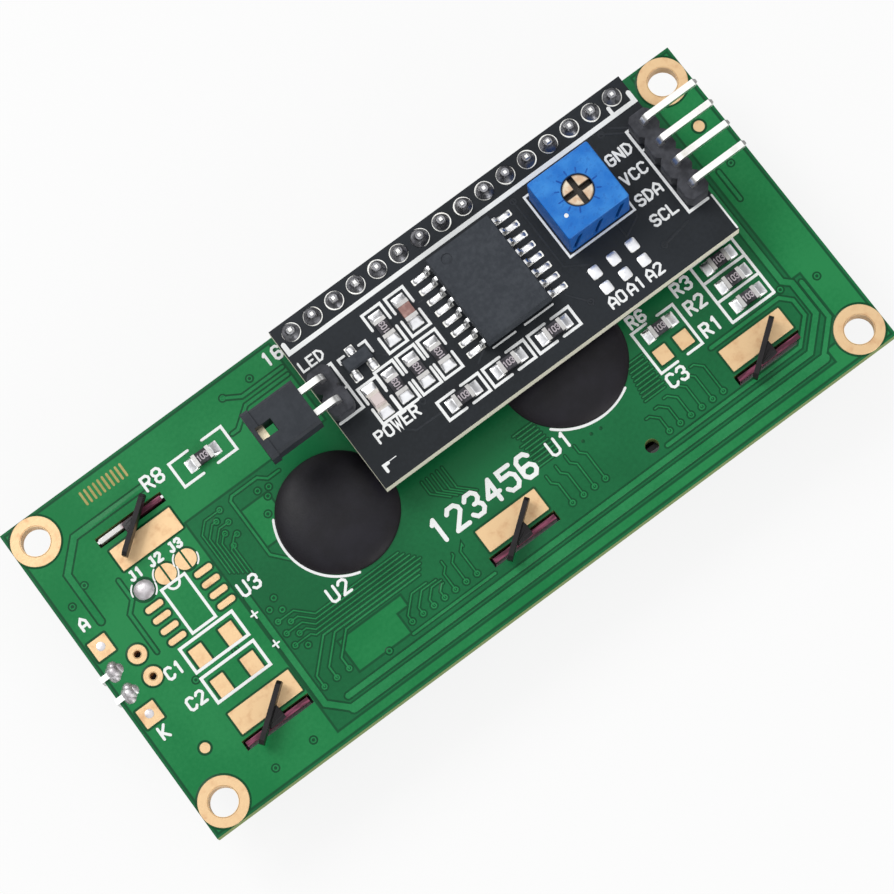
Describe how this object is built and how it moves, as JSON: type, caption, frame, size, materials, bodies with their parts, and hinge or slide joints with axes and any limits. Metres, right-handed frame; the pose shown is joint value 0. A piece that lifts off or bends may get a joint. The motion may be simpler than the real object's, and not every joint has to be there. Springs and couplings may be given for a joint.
{
  "type": "character lcd module",
  "caption": "Character display module: green board, black folded bezel, two potted chips and a small dark serial interface board soldered to its pin row.",
  "frame": {"origin": "middle of the four mounting holes, on the back face of the main board", "axes": "+Z points away from the display, +X along the long side towards pin 1, +Y towards the pin row"},
  "size_m": [0.0802, 0.036, 0.0178],
  "materials": {
    "board_green": "satin green mask over fibreglass",
    "board_slate": "satin dark mask over fibreglass",
    "bezel_black": "satin black over steel",
    "film_dark": "smooth polarising film",
    "film_white": "matte white film",
    "cell_glass": "polished",
    "guide_clear": "clear acrylic",
    "tray_white": "matte white",
    "contact_rubber": "soft, layered",
    "potting_black": "satin resin",
    "resistor_black": "glazed black",
    "plated_end": "tinned",
    "capacitor_brown": "plain ceramic",
    "solder": "bright solder",
    "tinned_lead": "tinned",
    "pin_metal": "tinned brass",
    "header_plastic": "moulded dark nylon",
    "jumper_black": "moulded black",
    "chip_plastic": "moulded epoxy",
    "trimmer_blue": "moulded blue",
    "rotor_cream": "moulded cream",
    "element_ceramic": "plain white ceramic",
    "contact_bronze": "sprung bronze",
    "indicator_base": "pale base",
    "indicator_lens": "clear pinkish lens"
  },
  "bodies": {
    "module": {"main_pcb": "board_green", "bezel": "bezel_black", "front_polariser": "film_dark", "front_glass": "cell_glass", "contact_strip_upper": "contact_rubber", "contact_strip_lower": "contact_rubber", "rear_glass": "cell_glass", "rear_polariser": "film_dark", "backlight_diffuser": "film_white", "light_guide": "guide_clear", "backlight_reflector": "film_white", "backlight_housing": "tray_white", "backlight_leds": "tray_white", "backlight_leads": "tinned_lead", "backlight_solder": "solder", "chip_dome_left": "potting_black", "chip_dome_right": "potting_black", "main_resistors": "resistor_black", "main_resistor_ends": "plated_end", "main_solder": "solder", "interface_strip": "header_plastic", "interface_pins": "pin_metal", "interface_solder_front": "solder", "interface_solder_top": "solder", "backpack_pcb": "board_slate", "expander_body": "chip_plastic", "expander_leads": "tinned_lead", "trimmer_body": "trimmer_blue", "trimmer_element": "element_ceramic", "trimmer_pins": "tinned_lead", "bus_header_block": "header_plastic", "bus_header_pins": "pin_metal", "jumper_header_block": "header_plastic", "jumper_header_pins": "pin_metal", "backpack_resistors": "resistor_black", "backpack_resistor_ends": "plated_end", "backpack_capacitor": "capacitor_brown", "backpack_capacitor_ends": "plated_end", "power_led_base": "indicator_base", "power_led_lens": "indicator_lens", "transistor_body": "chip_plastic", "transistor_leads": "tinned_lead", "backpack_solder": "solder", "backpack_solder_below": "solder"},
    "rotor": {"trimmer_rotor": "rotor_cream", "trimmer_wiper": "contact_bronze"},
    "jumper": {"jumper_cap": "jumper_black", "jumper_contact": "contact_bronze"}
  },
  "joints": [
    {"name": "trimmer_turn", "type": "hinge", "parent": "module", "child": "rotor", "pos_m": [0.0232, 0.00965, 0.0078], "axis": [0, 0, 1], "range_deg": [-120, 120]},
    {"name": "jumper_pull", "type": "slide", "parent": "module", "child": "jumper", "axis": [-1, 0, 0], "range_m": [-0.0011, 0.0036]}
  ]
}
